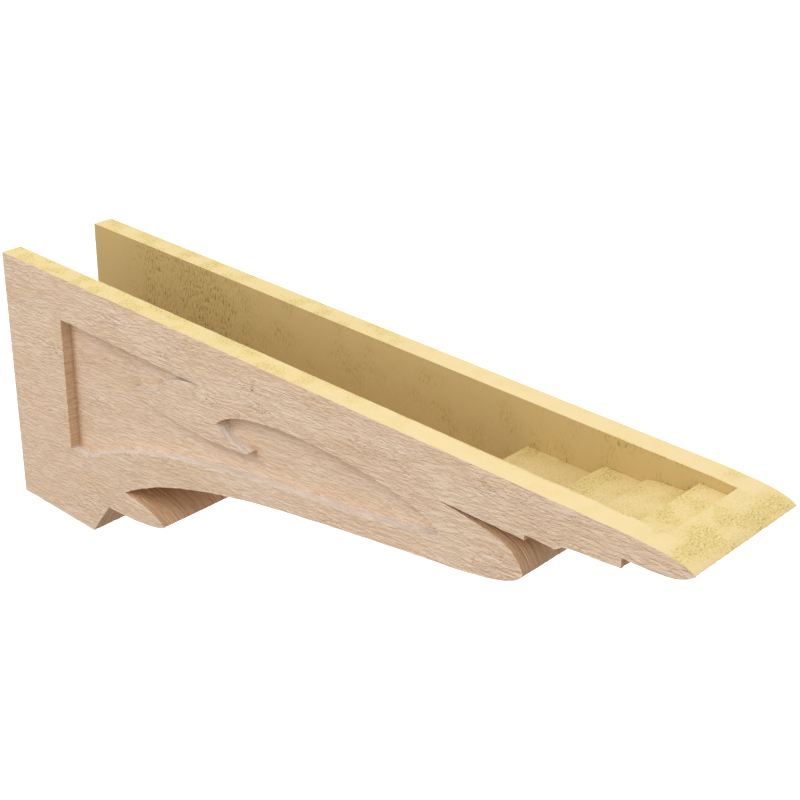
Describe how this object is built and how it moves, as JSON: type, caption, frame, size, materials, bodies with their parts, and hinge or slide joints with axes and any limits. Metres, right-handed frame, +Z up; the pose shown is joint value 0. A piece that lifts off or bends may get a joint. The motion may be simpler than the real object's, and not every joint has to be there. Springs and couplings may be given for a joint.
{
  "type": "hollow faux-cedar corbel",
  "caption": "Moulded foam corbel with a sawn-cedar grain, a hollow back open at the wall end, drip noses under it and a sunk carved panel in each side.",
  "frame": {"origin": "on the wall end, at the centre of the channel's floor where it meets the wall", "axes": "+X from the wall end out to the pointed tip, +Y across the width, +Z up to the open rim"},
  "size_m": [0.9144, 0.1524, 0.3047],
  "materials": {
    "primed_foam": "tan primer over rigid polyurethane foam moulded with a sawn cedar grain, bare yellow foam on the rim and inside"
  },
  "bodies": {
    "root": {"corbel": "primed_foam"}
  },
  "joints": []
}
